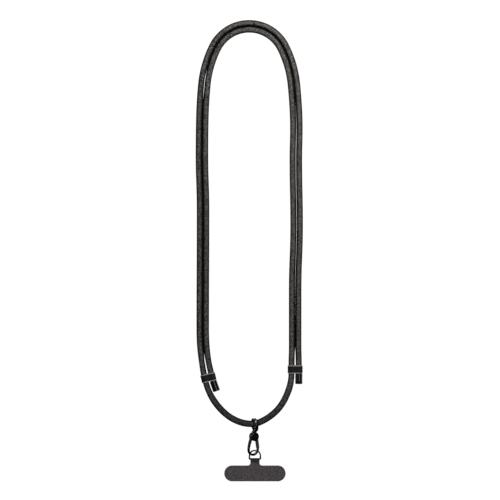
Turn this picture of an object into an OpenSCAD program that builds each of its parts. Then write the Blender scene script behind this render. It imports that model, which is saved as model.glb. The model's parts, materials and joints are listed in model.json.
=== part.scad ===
// Phone lanyard: a doubled braided cord with two leather sliders, a swivel snap hook,
// a D-ring and a flat fabric phone tab. It hangs in the XZ plane, its face towards -Y,
// and its origin is where the underside of the top bend rests on a hook or a neck.

/* [Cord] */
// Diameter of the braided cord
cord_d = 5.9; // [5.7:0.1:6]
// Thickness of the braided sheath round the core
sheath_t = 0.8; // [0.6:0.1:1]
// Distance between the two strands where they run side by side
strand_pitch = 6.1; // [6.1:0.1:6.3]
// Bend radius at the crown of the neck loop, at the middle of the two strands
crown_r = 38.1; // [37:0.1:39]

/* [Sliders] */
// Distance between the two strands inside a slider
slider_pitch = 7.3; // [7:0.1:7.4]
// Height of the leather band along the cord
band_h = 7.8; // [7:0.1:8]
// Thickness of the leather
leather_t = 0.6; // [0.5:0.1:0.8]
// Outside diameter of the end caps
cap_d = 7.2; // [6.8:0.1:7.3]
// Length of the end caps
cap_l = 10.4; // [9:0.1:12]

/* [Snap hook] */
// Turn of the hook about its swivel as it hangs
hook_turn = 35; // [33:1:37]
// Angle between the swivel eye and the face of the lanyard
eye_turn = 71; // [68:1:74]
// Thickness of the swivel eye's band
eye_t = 1.5; // [1.3:0.1:1.6]
// Width of the swivel eye's band
eye_w = 3.4; // [3:0.1:3.6]
// Diameter of the round head of the hook
head_d = 8.8; // [8.6:0.1:9]
// Depth of the head of the hook from front to back
head_t = 5.2; // [5:0.1:5.4]

/* [D-ring] */
// Diameter of the D-ring's wire
ring_wire = 1.4; // [1.2:0.1:1.4]
// Overall width of the D-ring
ring_w = 12.4; // [12.2:0.1:12.6]
// Overall height of the D-ring
ring_h = 10.2; // [10:0.1:10.4]

/* [Phone tab] */
// Width of the pad that sits inside the phone case
pad_w = 61.4; // [50:0.2:70]
// Height of the pad
pad_h = 15.8; // [12:0.2:20]
// Width of the stem that passes through the charging opening
stem_w = 9.2; // [8:0.1:9.2]
// Distance from the D-ring's bar to the top of the pad
stem_l = 6.3; // [5:0.1:8]
// Thickness of each fabric face
fabric_t = 0.45; // [0.3:0.05:0.5]

/* [Hidden] */
$fn = 64;
metal = "#2b2a2c";
polished = "#0c0c0e";
leather = "#3a3838";
braid = "#4c4946";
fabric = "#4a4649";
thread = "#201f20";
backing = "#2f2d2f";
core_fibre = "#77736e";
stiffener = "#1c1b1c";
slip = 0.05;        // running clearance on the radius
hair = 0.02;        // gap between pieces that are fixed together

// ---- the cord's path, as places [x, z, heading, pitch] in the plane of the lanyard ----
crown_a = 63.4;     // turn of the crown on each side of the top
shoulder_a = 21;
shoulder_r = crown_r + 68;
mid_z = cord_d / 2 + strand_pitch / 2;   // middle of the two strands at the top
crown_x = crown_r * sin(crown_a);
crown_z = mid_z - crown_r * (1 - cos(crown_a));
shoulder_x = crown_x + shoulder_r * (sin(crown_a + shoulder_a) - sin(crown_a));
shoulder_z = crown_z - shoulder_r * (cos(crown_a) - cos(crown_a + shoulder_a));
left_bend_r = 193.2;   // the strands bend inwards above the left slider
left_bend_top = [-46.4, -298.8];
function on_left_bend(a) = [left_bend_top[0] + left_bend_r * (1 - cos(a)),
    left_bend_top[1] - left_bend_r * sin(a), 90 + a];
left_slider = on_left_bend(13.9);
right_slider = [46, -337, -90];
spread_a = 5;          // the strands spread over this much of the bend
spread_l = 22;
pair = [
    concat(left_slider, slider_pitch),
    concat(on_left_bend(13.9 - spread_a), strand_pitch),
    concat(on_left_bend(0), strand_pitch),
    [-46.1, -178, 90, strand_pitch],
    [-47.2, -123, 90, strand_pitch],
    [-shoulder_x, shoulder_z, crown_a + shoulder_a, strand_pitch],
    [-crown_x, crown_z, crown_a, strand_pitch],
    [crown_x, crown_z, -crown_a, strand_pitch],
    [shoulder_x, shoulder_z, -crown_a - shoulder_a, strand_pitch],
    [47.2, -96, -90, strand_pitch],
    [46.7, -128, -90, strand_pitch],
    [47.5, -193, -90, strand_pitch],
    [46, -258, -90, strand_pitch],
    [right_slider[0], right_slider[1] + spread_l, -90, strand_pitch],
    concat(right_slider, slider_pitch)];
lower_loop = [[33.6, -370.4, -121], [14.1, -388.2, -152.6], [2.5, -391.6, 180], [-25.3, -380, 137]];
left_cap = [-36, -348.9, 109.5];
right_cap = [right_slider[0] + slider_pitch / 2, right_slider[1] - band_h / 2 - 0.3, -90];
cap_floor = 1;      // thickness of a cap's closed end
cord_in_cap = cap_l - cap_floor - 0.2;

function dir(h) = [cos(h), sin(h)];
function side(h) = [-sin(h), cos(h)];
function wrap(a) = a - 360 * round(a / 360);
function beside(w, k) = let (p = [w[0], w[1]] + k * side(w[2])) [p[0], p[1], w[2]];
function ahead(w, l) = let (p = [w[0], w[1]] + l * dir(w[2])) [p[0], p[1], w[2]];
// One round bend from p at heading h to q, as [start, heading, turn, chord].
function bend(p, h, q) = let (v = q - p) [p, h, 2 * wrap(atan2(v[1], v[0]) - h), norm(v)];
function bend_r(b) = b[3] / (2 * sin(abs(b[2]) / 2));
// Two bends that leave place a and arrive at place b with no kink, or one where one is enough.
function bends(a, b) =
    let (p = [a[0], a[1]], q = [b[0], b[1]], v = q - p)
    let (t = dir(a[2]), u = dir(b[2]), s = t + u, c = 1 - t * u)
    let (reach = c < 1e-6 ? (v * v) / (4 * (v * u))
        : (sqrt((v * s) ^ 2 + 2 * c * (v * v)) - v * s) / (2 * c))
    let (middle = (p + reach * t + q - reach * u) / 2)
    let (first = bend(p, a[2], middle), last = bend(middle, a[2] + first[2], q))
    abs(first[2] - last[2]) < 0.03 * abs(last[2]) ? [bend(p, a[2], q)] : [first, last];
// The strands run straight through the sliders.
into_loop = ahead(beside(right_slider, -slider_pitch / 2), band_h / 2 + 0.2);
out_of_loop = ahead(beside(left_slider, slider_pitch / 2), -band_h / 2 - 0.2);
cord_places = concat(
    [ahead(left_cap, -cord_in_cap), left_cap],
    [for (w = pair) beside(w, -w[3] / 2)],
    [into_loop],
    lower_loop,
    [out_of_loop],
    [for (w = pair) beside(w, w[3] / 2)],
    [right_cap, ahead(right_cap, cord_in_cap)]);
cord_start = [cord_places[0][0], cord_places[0][1]];

// ---- the clip hangs from the cord here ----
clip = [5.6, 0, -391.3];   // centre of the cord inside the swivel eye
clip_lean = 3.5;           // the hook's foot hangs a little to the left
eye_lean = -7;            // the eye leans with the slope of the cord
eye_r = 6.1;               // radius of the eye at the middle of its band
eye_drop = 1.25;           // the eye's centre is this far under the cord's
head_drop = 12.9;          // the middle of the hook's head
post_d = 1.8;
post_head_d = 2.6;
post_head_t = 0.8;
slot_w = 3.1;              // slot in the head for the gate
slot_top = 2.4;
slot_left = -1.7;
collar_d = 4.6;
collar_top = 4.3;
root_r = 1.2;              // ball that joins the eye to its post
shoulder_d = 4.6;          // shoulder under the eye that rides on the top of the head
shoulder_t = 0.9;
pivot = [2.7, -1.7];       // gate pivot, from the middle of the head
rivet_d = 1.2;
disc_d = 7.6;
disc_t = 0.5;
disc_sink = 0.4;
bow_r = 5.6;               // radius of the bow at the middle of the bar
bow_z = -12.7;             // centre of the bow
leg_w = 2.2;               // leg of the hook, across its face
leg_t = 2.8;               // leg of the hook, front to back
bow_w = 2.1;
bow_t = 2.6;
gate_w = 2.6;
gate_t = 2.7;
hub_d = 3;
leg_top = [-3.6, -1];      // where the leg leaves the head
nose_l = 3;                // the bow runs up this far before the gate's sweep cuts it
gate_reach = 10.1;          // from the gate's pivot to its rounded end
gate_gap = 0.15;
spring_z = -3.4;
spring_l = 3.3;
spring_d = 1.9;
spring_wire = 0.3;
spring_turns = 5;
ring_x = 5.8;              // middle of the D-ring and of the tab
ring_y = 0.6;
bar_z = -427;              // height of the D-ring's bar
tab_t = 1.4;
core_inset = 0.4;
loop_t = 0.5;
loop_l = 2.3;              // the loop's ends reach this far below the bar
loop_press = 0.1;          // depth of the pressed place under the loop
fillet_r = 2.5;
thread_d = 0.3;

module tube(od, id) difference() {
    circle(d = od);
    if (id > 0) circle(d = id);
}

// One bend of the cord. Its ends stop short and a slightly thinner neck joins it to the one before.
module cord_bend(b, od, id) {
    cut = 0.1;
    neck_l = 2.4;
    r = bend_r(b);
    a = cut / r * 180 / PI;
    translate(b[0]) rotate(b[1]) {
        if (abs(b[2]) < 0.02)
            translate([cut, 0]) rotate([90, 0, 90]) linear_extrude(b[3] - 2 * cut) tube(od, id);
        else
            translate([0, sign(b[2]) * r]) rotate(b[2] > 0 ? a - 90 : 90 + b[2] + a)
                rotate_extrude(angle = abs(b[2]) - 2 * a, $fn = 180) translate([r, 0]) tube(od, id);
        if (b[0] != cord_start)
            translate([-neck_l / 2, 0]) rotate([90, 0, 90])
                linear_extrude(neck_l) tube(od - cut, id > 0 ? id + cut : 0);
    }
}

module cord(od, id) rotate([90, 0, 0])
    for (i = [1 : len(cord_places) - 1])
        for (b = bends(cord_places[i - 1], cord_places[i])) cord_bend(b, od, id);

module cord_sheath() color(braid) cord(cord_d, cord_d - 2 * sheath_t);
module cord_core() color(core_fibre) cord(cord_d - 2 * sheath_t - 2 * slip, 0);

// Moves a piece drawn round the Z axis, top at the origin, to a place on the cord.
module at_place(w) translate([w[0], 0, w[1]]) rotate([0, -w[2], 0]) rotate([0, 90, 0]) children();

// End cap: a tube with a closed, rounded end that grows along +Z.
module end_cap() color(polished) rotate_extrude() {
    round_r = 0.5;
    bore_r = cord_d / 2 + slip;
    difference() {
        union() {
            square([cap_d / 2 - round_r, cap_l]);
            translate([0, 0.3]) square([cap_d / 2, cap_l - 0.3 - round_r]);
            translate([cap_d / 2 - round_r, cap_l - round_r]) circle(round_r);
        }
        translate([-1, -1]) square([bore_r + 1, cap_l - cap_floor + 1]);
    }
}
module left_end_cap() at_place([left_cap[0], left_cap[1], left_cap[2] + 180]) end_cap();
module right_end_cap() at_place(right_cap) end_cap();

// Leather band round both strands, its ends overlapping at the back.
band_in_r = cord_d / 2 + slip;
lap_w = 5;
lap_y = band_in_r + leather_t + hair;
module stadium(w, r) {
    square([w, 2 * r], center = true);
    for (s = [-1, 1]) translate([s * w / 2, 0]) circle(r);
}
module stitch_row(d) for (x = [-1.4, 1.4], z = [-2.2, 0, 2.2]) translate([x, band_in_r, z]) {
    for (k = [-0.6, 0.6]) translate([0, 0, k]) rotate([-90, 0, 0]) cylinder(h = 2 * leather_t + 0.2, d = d);
    translate([0, 2 * leather_t + 0.2, -0.6 - d / 2]) cylinder(h = 1.2 + d, d = d);
}
module slider_band() color(leather) difference() {
    union() {
        linear_extrude(band_h, center = true) difference() {
            stadium(slider_pitch, band_in_r + leather_t);
            stadium(slider_pitch, band_in_r);
        }
        translate([-lap_w / 2, lap_y, -band_h / 2]) cube([lap_w, leather_t, band_h]);
        translate([-lap_w / 2, lap_y - 0.1, -band_h / 2]) cube([0.8, 0.2, band_h]);
    }
    stitch_row(thread_d + 2 * slip);
}
module slider_stitches() color(thread) stitch_row(thread_d);
module at_slider(w) translate([w[0], 0, w[1]]) rotate([0, 90 - w[2], 0]) children();
module left_slider_band() at_slider(left_slider) slider_band();
module left_slider_stitches() at_slider(left_slider) slider_stitches();
module right_slider_band() at_slider([right_slider[0], right_slider[1], 90]) slider_band();
module right_slider_stitches() at_slider([right_slider[0], right_slider[1], 90]) slider_stitches();

// ---- swivel snap hook ----
module at_clip() translate(clip) rotate([0, clip_lean, 0]) children();
module at_hook() at_clip() translate([0, 0, -head_drop]) rotate([0, 0, hook_turn]) children();

module swivel_eye() color(metal) {
    head_z = -head_drop + slot_top - 0.1 - post_head_t;
    translate(clip - [0, 0, eye_drop]) rotate([0, eye_lean, 0]) rotate([0, 0, -eye_turn]) rotate([90, 0, 0])
        rotate_extrude() translate([eye_r, 0]) rotate(90) stadium(eye_w - eye_t, eye_t / 2);
    at_clip() {
        translate([0, 0, -eye_drop - eye_r]) sphere(root_r);
        translate([0, 0, -head_drop + head_d / 2 + slip])
            cylinder(h = shoulder_t, r1 = shoulder_d / 2, r2 = shoulder_d / 2 - shoulder_t);
        translate([0, 0, head_z]) cylinder(h = -eye_drop - eye_r - head_z, d = post_d);
        translate([0, 0, head_z]) cylinder(h = post_head_t, d = post_head_d);
    }
}

// Bar section with chamfered edges: w across the face, t from front to back.
module bar_section(w, t) {
    c = 0.45;
    polygon([[-w / 2 + c, -t / 2], [w / 2 - c, -t / 2], [w / 2, -t / 2 + c], [w / 2, t / 2 - c],
        [w / 2 - c, t / 2], [-w / 2 + c, t / 2], [-w / 2, t / 2 - c], [-w / 2, -t / 2 + c]]);
}
// Straight bar from a to b in the face of the hook, by [x, z].
module bar(a, b, w, t) {
    v = b - a;
    translate([a[0], 0, a[1]]) rotate([0, atan2(v[0], v[1]), 0]) linear_extrude(norm(v)) bar_section(w, t);
}
// Round head, its edges rounded, axis from front to back.
module head_disc(d, t, r) rotate([90, 0, 0]) rotate_extrude() {
    square([d / 2 - r, t], center = false);
    translate([0, r]) square([d / 2, t - 2 * r]);
    for (z = [r, t - r]) translate([d / 2 - r, z]) circle(r);
}
module cross_hole(p, d) translate([p[0], 10, p[1]]) rotate([90, 0, 0]) cylinder(h = 20, d = d);
module gate_sweep(r) translate([pivot[0], 5, pivot[1]]) rotate([90, 0, 0]) cylinder(h = 10, r = r);
module hook_body() color(metal) at_hook() difference() {
    union() {
        translate([0, head_t / 2, 0]) head_disc(head_d, head_t, 0.7);
        cylinder(h = collar_top, d = collar_d);
        bar(leg_top, [-bow_r, bow_z], leg_w, leg_t);
        translate([0, 0, bow_z]) rotate([90, 0, 0]) rotate_extrude(angle = 180, start = 180, $fn = 96)
            translate([bow_r, 0]) bar_section(bow_w, bow_t);
        difference() {
            bar([bow_r, bow_z], [bow_r - 0.1, bow_z + nose_l], bow_w, bow_t);
            gate_sweep(gate_reach + gate_gap);
        }
    }
    cylinder(h = 10, d = post_d + 2 * slip);
    translate([slot_left, -slot_w / 2, -8]) cube([10, slot_w, 8 + slot_top]);
    cross_hole(pivot, rivet_d + 2 * hair);
    for (s = [-1, 1]) translate([0, s * (head_t / 2 - disc_sink / 2), 0]) rotate([90, 0, 0])
        cylinder(h = disc_sink + hair, d = disc_d + 2 * hair, center = true);
}

module disc(s) color(polished) at_hook()
    translate([0, s * (head_t / 2 - disc_sink + hair), 0]) rotate([-s * 90, 0, 0]) rotate_extrude() {
        square([disc_d / 2 - 0.2, disc_t]);
        square([disc_d / 2, disc_t - 0.2]);
        translate([disc_d / 2 - 0.2, disc_t - 0.2]) circle(0.2);
    }
module front_disc() disc(-1);
module back_disc() disc(1);

module gate() color(metal) at_hook() difference() {
    hub_t = slot_w - 0.2;
    union() {
        translate([pivot[0], hub_t / 2, pivot[1]]) rotate([90, 0, 0]) cylinder(h = hub_t, d = hub_d);
        intersection() {
            bar([pivot[0] + 0.7, pivot[1]], [bow_r, pivot[1] - gate_reach - 1], gate_w, gate_t);
            gate_sweep(gate_reach);
        }
    }
    cross_hole(pivot, rivet_d + 2 * slip);
}
module gate_rivet() color(metal) at_hook() translate([pivot[0], 0, pivot[1]]) rotate([90, 0, 0])
    cylinder(h = head_t - 2 * disc_sink - 2 * hair, d = rivet_d, center = true);

// Coil spring as a ring of small facets that climbs along its axis.
function coil_point(a, k, n) =
    let (r = spring_d / 2 - spring_wire / 2 + spring_wire / 2 * cos(360 * k / n))
    [spring_l * a / (360 * spring_turns) + spring_wire / 2 * sin(360 * k / n), r * cos(a), r * sin(a)];
module gate_spring() color("silver") at_hook() translate([slot_left + 0.2, 0, spring_z]) {
    n = 6;
    step = 24;
    stations = 360 * spring_turns / step;
    polyhedron(
        points = [for (i = [0 : stations], k = [0 : n - 1]) coil_point(i * step, k, n)],
        faces = concat([[for (k = [n - 1 : -1 : 0]) k]],
            [for (i = [0 : stations - 1], k = [0 : n - 1])
                [i * n + k, i * n + (k + 1) % n, (i + 1) * n + (k + 1) % n, (i + 1) * n + k]],
            [[for (k = [0 : n - 1]) stations * n + k]]));
}

// ---- D-ring: a straight bar, two short legs and a round crown ----
module d_ring() color(metal) translate([ring_x, ring_y, bar_z]) rotate([90, 0, 0]) {
    half = (ring_w - ring_wire) / 2;
    corner_r = 0.9;
    leg = ring_h - ring_wire - half;
    for (s = [-1, 1]) {
        translate([s * half, corner_r]) rotate([-90, 0, 0]) cylinder(h = leg - corner_r, d = ring_wire);
        translate([s * (half - corner_r), corner_r]) rotate(s > 0 ? -90 : 180)
            rotate_extrude(angle = 90) translate([corner_r, 0]) circle(d = ring_wire);
    }
    translate([0, leg]) rotate_extrude(angle = 180, $fn = 96) translate([half, 0]) circle(d = ring_wire);
    translate([-half + corner_r, 0, 0]) rotate([0, 90, 0])
        cylinder(h = 2 * (half - corner_r), d = ring_wire);
}

// ---- phone tab ----
module at_tab() translate([ring_x, ring_y, bar_z]) children();
stem_top = -0.95;
// Outline of the tab: a pad with full round ends and a stem with filleted corners.
module tab_outline(inset) {
    r = pad_h / 2 - inset;
    w = pad_w - 2 * inset;
    pad_mid = -stem_l - pad_h / 2;
    root = stem_w / 2 - inset;
    translate([0, pad_mid]) stadium(w - 2 * r, r);
    translate([-root, pad_mid]) square([2 * root, stem_top - inset - pad_mid]);
    for (s = [0, 1]) mirror([s, 0]) translate([root - 0.05, pad_mid + r - 0.05]) difference() {
        square(fillet_r + inset + 0.05);
        translate([fillet_r + inset + 0.05, fillet_r + inset + 0.05]) circle(fillet_r + inset);
    }
}
module tab_layer(y, t, inset) at_tab() translate([0, y + t, 0]) rotate([90, 0, 0])
    linear_extrude(t) tab_outline(inset);
module loop_threads(d) for (x = [-3 : 1.5 : 3]) translate([x - 0.4, 0, -1.75]) {
    reach = tab_t / 2 + hair + loop_t + 0.2;
    for (k = [0, 0.8]) translate([k, 0, 0]) rotate([90, 0, 0]) cylinder(h = 2 * reach, d = d, center = true);
    for (s = [-1, 1]) translate([-d / 2, s * reach, 0]) rotate([0, 90, 0]) cylinder(h = 0.8 + d, d = d);
}
module tab_front() color(fabric) difference() {
    tab_layer(-tab_t / 2, fabric_t, 0);
    at_tab() loop_threads(thread_d + 2 * slip);
}
// The back layer is pressed in under the loop, so its face below the loop lies flat in a case.
module tab_back() color(backing) difference() {
    tab_layer(tab_t / 2 - fabric_t, fabric_t, 0);
    at_tab() {
        loop_threads(thread_d + 2 * slip);
        translate([-stem_w, tab_t / 2 - loop_press, -loop_l - slip]) cube([2 * stem_w, 1, loop_l]);
    }
}
module tab_core() color(stiffener) difference() {
    tab_layer(-tab_t / 2 + fabric_t + hair, tab_t - 2 * fabric_t - 2 * hair, core_inset);
    at_tab() loop_threads(thread_d + 2 * slip);
}
// Fabric loop folded over the D-ring's bar, its two ends on the faces of the stem.
module tab_loop() color(fabric) at_tab() difference() {
    inner = tab_t / 2 + hair;
    translate([-stem_w / 2, 0, 0]) rotate([90, 0, 90]) linear_extrude(stem_w) difference() {
        union() {
            circle(inner + loop_t);
            translate([-inner - loop_t, -loop_l]) square([2 * (inner + loop_t), loop_l]);
        }
        circle(inner);
        translate([-inner, -loop_l - 1]) square([2 * inner, loop_l + 1]);
    }
    loop_threads(thread_d + 2 * slip);
}
module tab_loop_stitches() color(thread) at_tab() loop_threads(thread_d);

cord_sheath();
cord_core();
left_end_cap();
right_end_cap();
left_slider_band();
left_slider_stitches();
right_slider_band();
right_slider_stitches();
swivel_eye();
hook_body();
front_disc();
back_disc();
gate();
gate_rivet();
gate_spring();
d_ring();
tab_loop();
tab_loop_stitches();
tab_front();
tab_core();
tab_back();
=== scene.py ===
import json
import math

import bpy
import numpy as np
from mathutils import Matrix, Vector
from mathutils.bvhtree import BVHTree
from mathutils.geometry import delaunay_2d_cdt


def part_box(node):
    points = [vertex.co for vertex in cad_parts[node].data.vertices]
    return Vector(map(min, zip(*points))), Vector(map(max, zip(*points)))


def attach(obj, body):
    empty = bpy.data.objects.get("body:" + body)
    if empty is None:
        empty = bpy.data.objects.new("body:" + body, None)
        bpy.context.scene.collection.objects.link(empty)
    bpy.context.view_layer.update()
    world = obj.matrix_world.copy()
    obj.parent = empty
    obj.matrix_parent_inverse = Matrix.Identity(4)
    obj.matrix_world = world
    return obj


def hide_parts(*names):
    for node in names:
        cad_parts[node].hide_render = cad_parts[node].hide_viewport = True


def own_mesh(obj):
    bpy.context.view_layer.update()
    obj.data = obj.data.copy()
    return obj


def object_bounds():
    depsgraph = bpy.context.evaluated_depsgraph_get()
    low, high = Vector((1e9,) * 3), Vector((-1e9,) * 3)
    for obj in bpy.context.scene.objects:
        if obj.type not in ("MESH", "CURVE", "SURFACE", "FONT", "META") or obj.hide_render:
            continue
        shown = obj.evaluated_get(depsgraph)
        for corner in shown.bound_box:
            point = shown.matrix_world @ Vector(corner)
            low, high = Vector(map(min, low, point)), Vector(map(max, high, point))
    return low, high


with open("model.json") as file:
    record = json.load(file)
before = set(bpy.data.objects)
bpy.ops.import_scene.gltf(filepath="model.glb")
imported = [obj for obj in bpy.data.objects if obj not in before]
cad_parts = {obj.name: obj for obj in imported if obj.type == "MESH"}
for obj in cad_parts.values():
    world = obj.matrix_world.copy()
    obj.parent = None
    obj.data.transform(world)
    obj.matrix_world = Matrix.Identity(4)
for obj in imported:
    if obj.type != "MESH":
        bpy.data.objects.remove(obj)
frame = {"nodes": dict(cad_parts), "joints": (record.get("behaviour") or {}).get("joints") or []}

cad_low, cad_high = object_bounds()
JOINTS = {joint["name"]: joint for joint in frame["joints"]}

# Lengths are in millimetres and turned into metres by place().
MM = 0.001
HERE = Matrix.Identity(4)   # for pieces that are built where they belong
SCENE = bpy.context.scene

# ---- braided cord ----
BRAID_SIDES = 32          # points round the cord, two to each crossing of the braid
BRAID_ROW = 0.64          # distance between the rows of points
BRAID_CREST = 0.16        # a crossing stands this far out of the CAD radius
BRAID_VALLEY = 0.04       # and the places between crossings stand this far out
BRAID_IN_CAP = -0.17      # the caps press the braid in
BRAID_CAP_LIMIT = 0.02    # and there it stands no further out than this
LOOP_PAINTED_SHADE = (-388, -330)   # between these heights the cord's colour is painted darker towards the clip: painted shade
FREE_BULGE = 0.22         # the cord is a little flat: it is wider in its plane
SIDE_BY_SIDE = 7.0        # strands nearer than this lie against each other
PRESSED, SWOLLEN = -0.5, 0.03   # limits of the bulge towards the strand beside
# Gap between the two strands on each side, by height. It changes over from left to right between
# the two values of x in RIGHT_SIDE.
RIGHT_SIDE = (20, 35)
RIGHT_GAPS = ([-328, -321, -315, -230, -110, -60], [0.9, 0.6, -0.04, 0.16, 0.3, -0.04])
LEFT_GAPS = ([-337, -328, -321, -68, -58, -44, -36], [1.05, 0.85, -0.04, -0.04, 0.4, 0.4, -0.04])
LINING_EVERY = 4          # the sheath's lining has one row for this many outside
LINING_GAP = 0.03         # between the core and the lining
TRACE_STEP = 1.0
CAP_LIP, CAP_EDGE = 0.15, 0.5   # rounding of a cap's mouth and of its closed end
CAP_ROOM, CAP_PLAY = 0.2, 0.05   # space past the cord's end, and round the cord

# ---- leather bands ----
BAND_INSIDE_R = 3.13
BAND_SLACK = 0.5          # the leather stands off the strands by half of this at each end
LEATHER_T = 0.54
LAP_REACH = 2.5           # the lap ends this far from the middle
LAP_GAP = 0.03
BAND_DENT, DENT_W = 0.28, 1.7   # depth and half width of the dip between the two strands
THREAD_D, STITCH_TWISTS = 0.3, 3
STITCH_X, STITCH_Z, STITCH_L = (-1.4, 1.4), (-2.2, 0, 2.2), 1.44

# ---- snap hook, from the middle of its head ----
HEAD_D, HEAD_T, HEAD_EDGE = 9.0, 5.2, 0.45
HEAD_DROP = 12.9          # distance from the cord to the middle of the head
PIVOT = Vector((2.7, 0, -1.7))
BOW_R, BOW_Z = 5.6, -12.7
LEG_TOP = (-3.2, 0.0)
LEG_W, LEG_T = 2.6, 3.1
LEG_TAPER = 7.0           # the leg gets slimmer over this height above the bow's centre
BOW_W, BOW_T = 2.2, 2.6
NOSE_L, NOSE_STEPS = 3.0, 5
COLLAR_D, COLLAR_TOP = 4.6, 4.3
POST_D = 1.8
POST_HEAD_R, POST_HEAD_T = 1.3, 0.8
SLOT_W, SLOT_LEFT, SLOT_TOP = 3.1, -1.7, 2.4
GATE_W, GATE_GAP = 3.3, 0.15
GATE_REACH = 10.1         # from the gate's pivot to its end
GATE_PLAY = 0.24          # the gate is this much narrower than its slot
HUB_R, GATE_HOLE_R = 1.5, 0.65
DISC_D, DISC_SINK, DISC_T = 7.6, 0.4, 0.5
DISC_EDGE, DISC_DOME = 0.16, 0.1
EYE_R, EYE_W, EYE_T, EYE_DROP = 6.1, 3.5, 1.6, 1.25
EYE_TURN, EYE_LEAN = 71.0, -7.0
SHOULDER_R, SHOULDER_T = 2.75, 0.9
SPRING_D, SPRING_WIRE, SPRING_L, SPRING_TURNS = 1.9, 0.3, 3.3, 5
SPRING_FOOT = Vector((SLOT_LEFT + 0.2, 0, -3.4))
SPRING_STEPS = 36         # points to a turn

# ---- D-ring ----
RING_CORNER = 0.9
RING_LEG_WIRE, RING_TOP_WIRE = 1.7, 1.5   # the ring is thicker outside the fabric loop
RING_TAPER = 1.2          # its thickness changes over this height

# ---- tab ----
PAD_H = 15.8
FILLET_R = 2.5
SHEET_GRID, CORE_GRID = 0.55, 1.6   # spacing of the points inside a sheet
SHEET_EDGE = 0.2
RIM_INSETS = [0.0, 0.05, 0.13, 0.25]
FOLD_T = 0.5              # thickness of the fabric loop
TAB_STITCH_Z, TAB_STITCH_L = -1.75, 1.04

# ---- studio, in metres and watts ----
ROOM_LIGHT = 0.05
FLOOR_IN_REFLECTIONS = 0.05
WHITE_GLOW = 1.05         # the surround and the floor as the camera sees them
FLOOR_R, FLOOR_DROP = 900, 14   # in millimetres, the drop from the lowest point
LIGHT_AIM = Vector((0, 0, -0.22))
SOFT_BOXES = [
    ("key_box", (0.15, -0.8, 0.5), (0.6, 0.4), 5.0),
    ("front_box", (0.5, -1.4, -0.25), (0.6, 1.0), 3.2),
    ("left_box", (-1.3, -0.72, -0.25), (0.25, 1.2), 1.2),
    ("right_rim", (1.2, 0.5, -0.25), (0.3, 1.2), 2.0),
    ("left_rim", (-1.2, 0.5, -0.25), (0.3, 1.2), 1.0),
    ("top_box", (0.12, -0.22, 0.2), (0.4, 0.2), 1.8),
    ("back_box", (-0.15, 0.9, 0.55), (0.8, 0.5), 7.0),
]
LENS, SENSOR = 120.0, 36.0
FRAME_W = 0.5             # width of the picture at the object
VIEW_CENTRE = (0.00085, -0.2177)


# ==== mesh tools ====

def new_object(name, points, faces):
    mesh = bpy.data.meshes.new(name)
    mesh.from_pydata([tuple(p) for p in points], [], [tuple(f) for f in faces])
    mesh.polygons.foreach_set("use_smooth", [True] * len(mesh.polygons))
    mesh.update()
    piece = bpy.data.objects.new(name, mesh)
    SCENE.collection.objects.link(piece)
    return piece


def apply_modifiers(piece):
    evaluated = piece.evaluated_get(bpy.context.evaluated_depsgraph_get())
    mesh = bpy.data.meshes.new_from_object(evaluated)
    piece.modifiers.clear()
    piece.data = mesh
    mesh.polygons.foreach_set("use_smooth", [True] * len(mesh.polygons))
    return piece


def joined(name, pieces):
    """One mesh that holds all the pieces."""
    points, faces = [], []
    for piece in pieces:
        first = len(points)
        points += [v.co.copy() for v in piece.data.vertices]
        faces += [[first + i for i in p.vertices] for p in piece.data.polygons]
        bpy.data.objects.remove(piece)
    return new_object(name, points, faces)


def cut(piece, *cutters, operation="DIFFERENCE"):
    for cutter in cutters:
        boolean = piece.modifiers.new("cut", "BOOLEAN")
        boolean.operation = operation
        boolean.solver = "MANIFOLD"
        boolean.object = cutter
        bpy.context.view_layer.update()
        apply_modifiers(piece)
        bpy.data.objects.remove(cutter)
    return piece


def cast(piece, voxel, smoothing):
    """Melts a piece into one skin with soft edges, as cast metal has."""
    remesh = piece.modifiers.new("remesh", "REMESH")
    remesh.mode = "VOXEL"
    remesh.voxel_size = voxel
    smooth = piece.modifiers.new("smooth", "SMOOTH")
    smooth.factor = 0.5
    smooth.iterations = smoothing
    bpy.context.view_layer.update()
    return apply_modifiers(piece)


def ring_faces(rings, sides, closed=False):
    faces = []
    for r in range(rings if closed else rings - 1):
        a, b = r * sides, (r + 1) % rings * sides
        for k in range(sides):
            n = (k + 1) % sides
            faces.append((a + k, a + n, b + n, b + k))
    if not closed:
        faces.append(tuple(range(sides - 1, -1, -1)))
        faces.append(tuple(range((rings - 1) * sides, rings * sides)))
    return faces


def lathe(name, profile, sides=64):
    """Turns (radius, height) points, listed from the bottom to the top, round Z."""
    points = []
    for radius, z in profile:
        points += [(x, y, z) for x, y in round_section(2 * max(radius, 1e-4), sides)]
    return new_object(name, points, ring_faces(len(profile), sides))


def rounded_disc(radius, low, high, edge, steps=5):
    """Profile for lathe(): a disc from low to high whose rims are rounded by edge."""
    bottom = arc((radius - edge, low + edge), edge, -90, 0, steps)
    top = arc((radius - edge, high - edge), edge, 0, 90, steps)
    return [(0, low)] + bottom + top + [(0, high)]


def round_section(diameter, sides=16):
    return arc((0, 0), diameter / 2, 0, 360, sides)[:-1]


def soft_bar_section(width, depth, squareness=3.2):
    """Bar section between an oval and a rectangle."""
    points = []
    for c, s in round_section(2, 32):
        x = math.copysign(abs(c) ** (2 / squareness), c) * width / 2
        y = math.copysign(abs(s) ** (2 / squareness), s) * depth / 2
        points.append((x, y))
    return points


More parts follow.
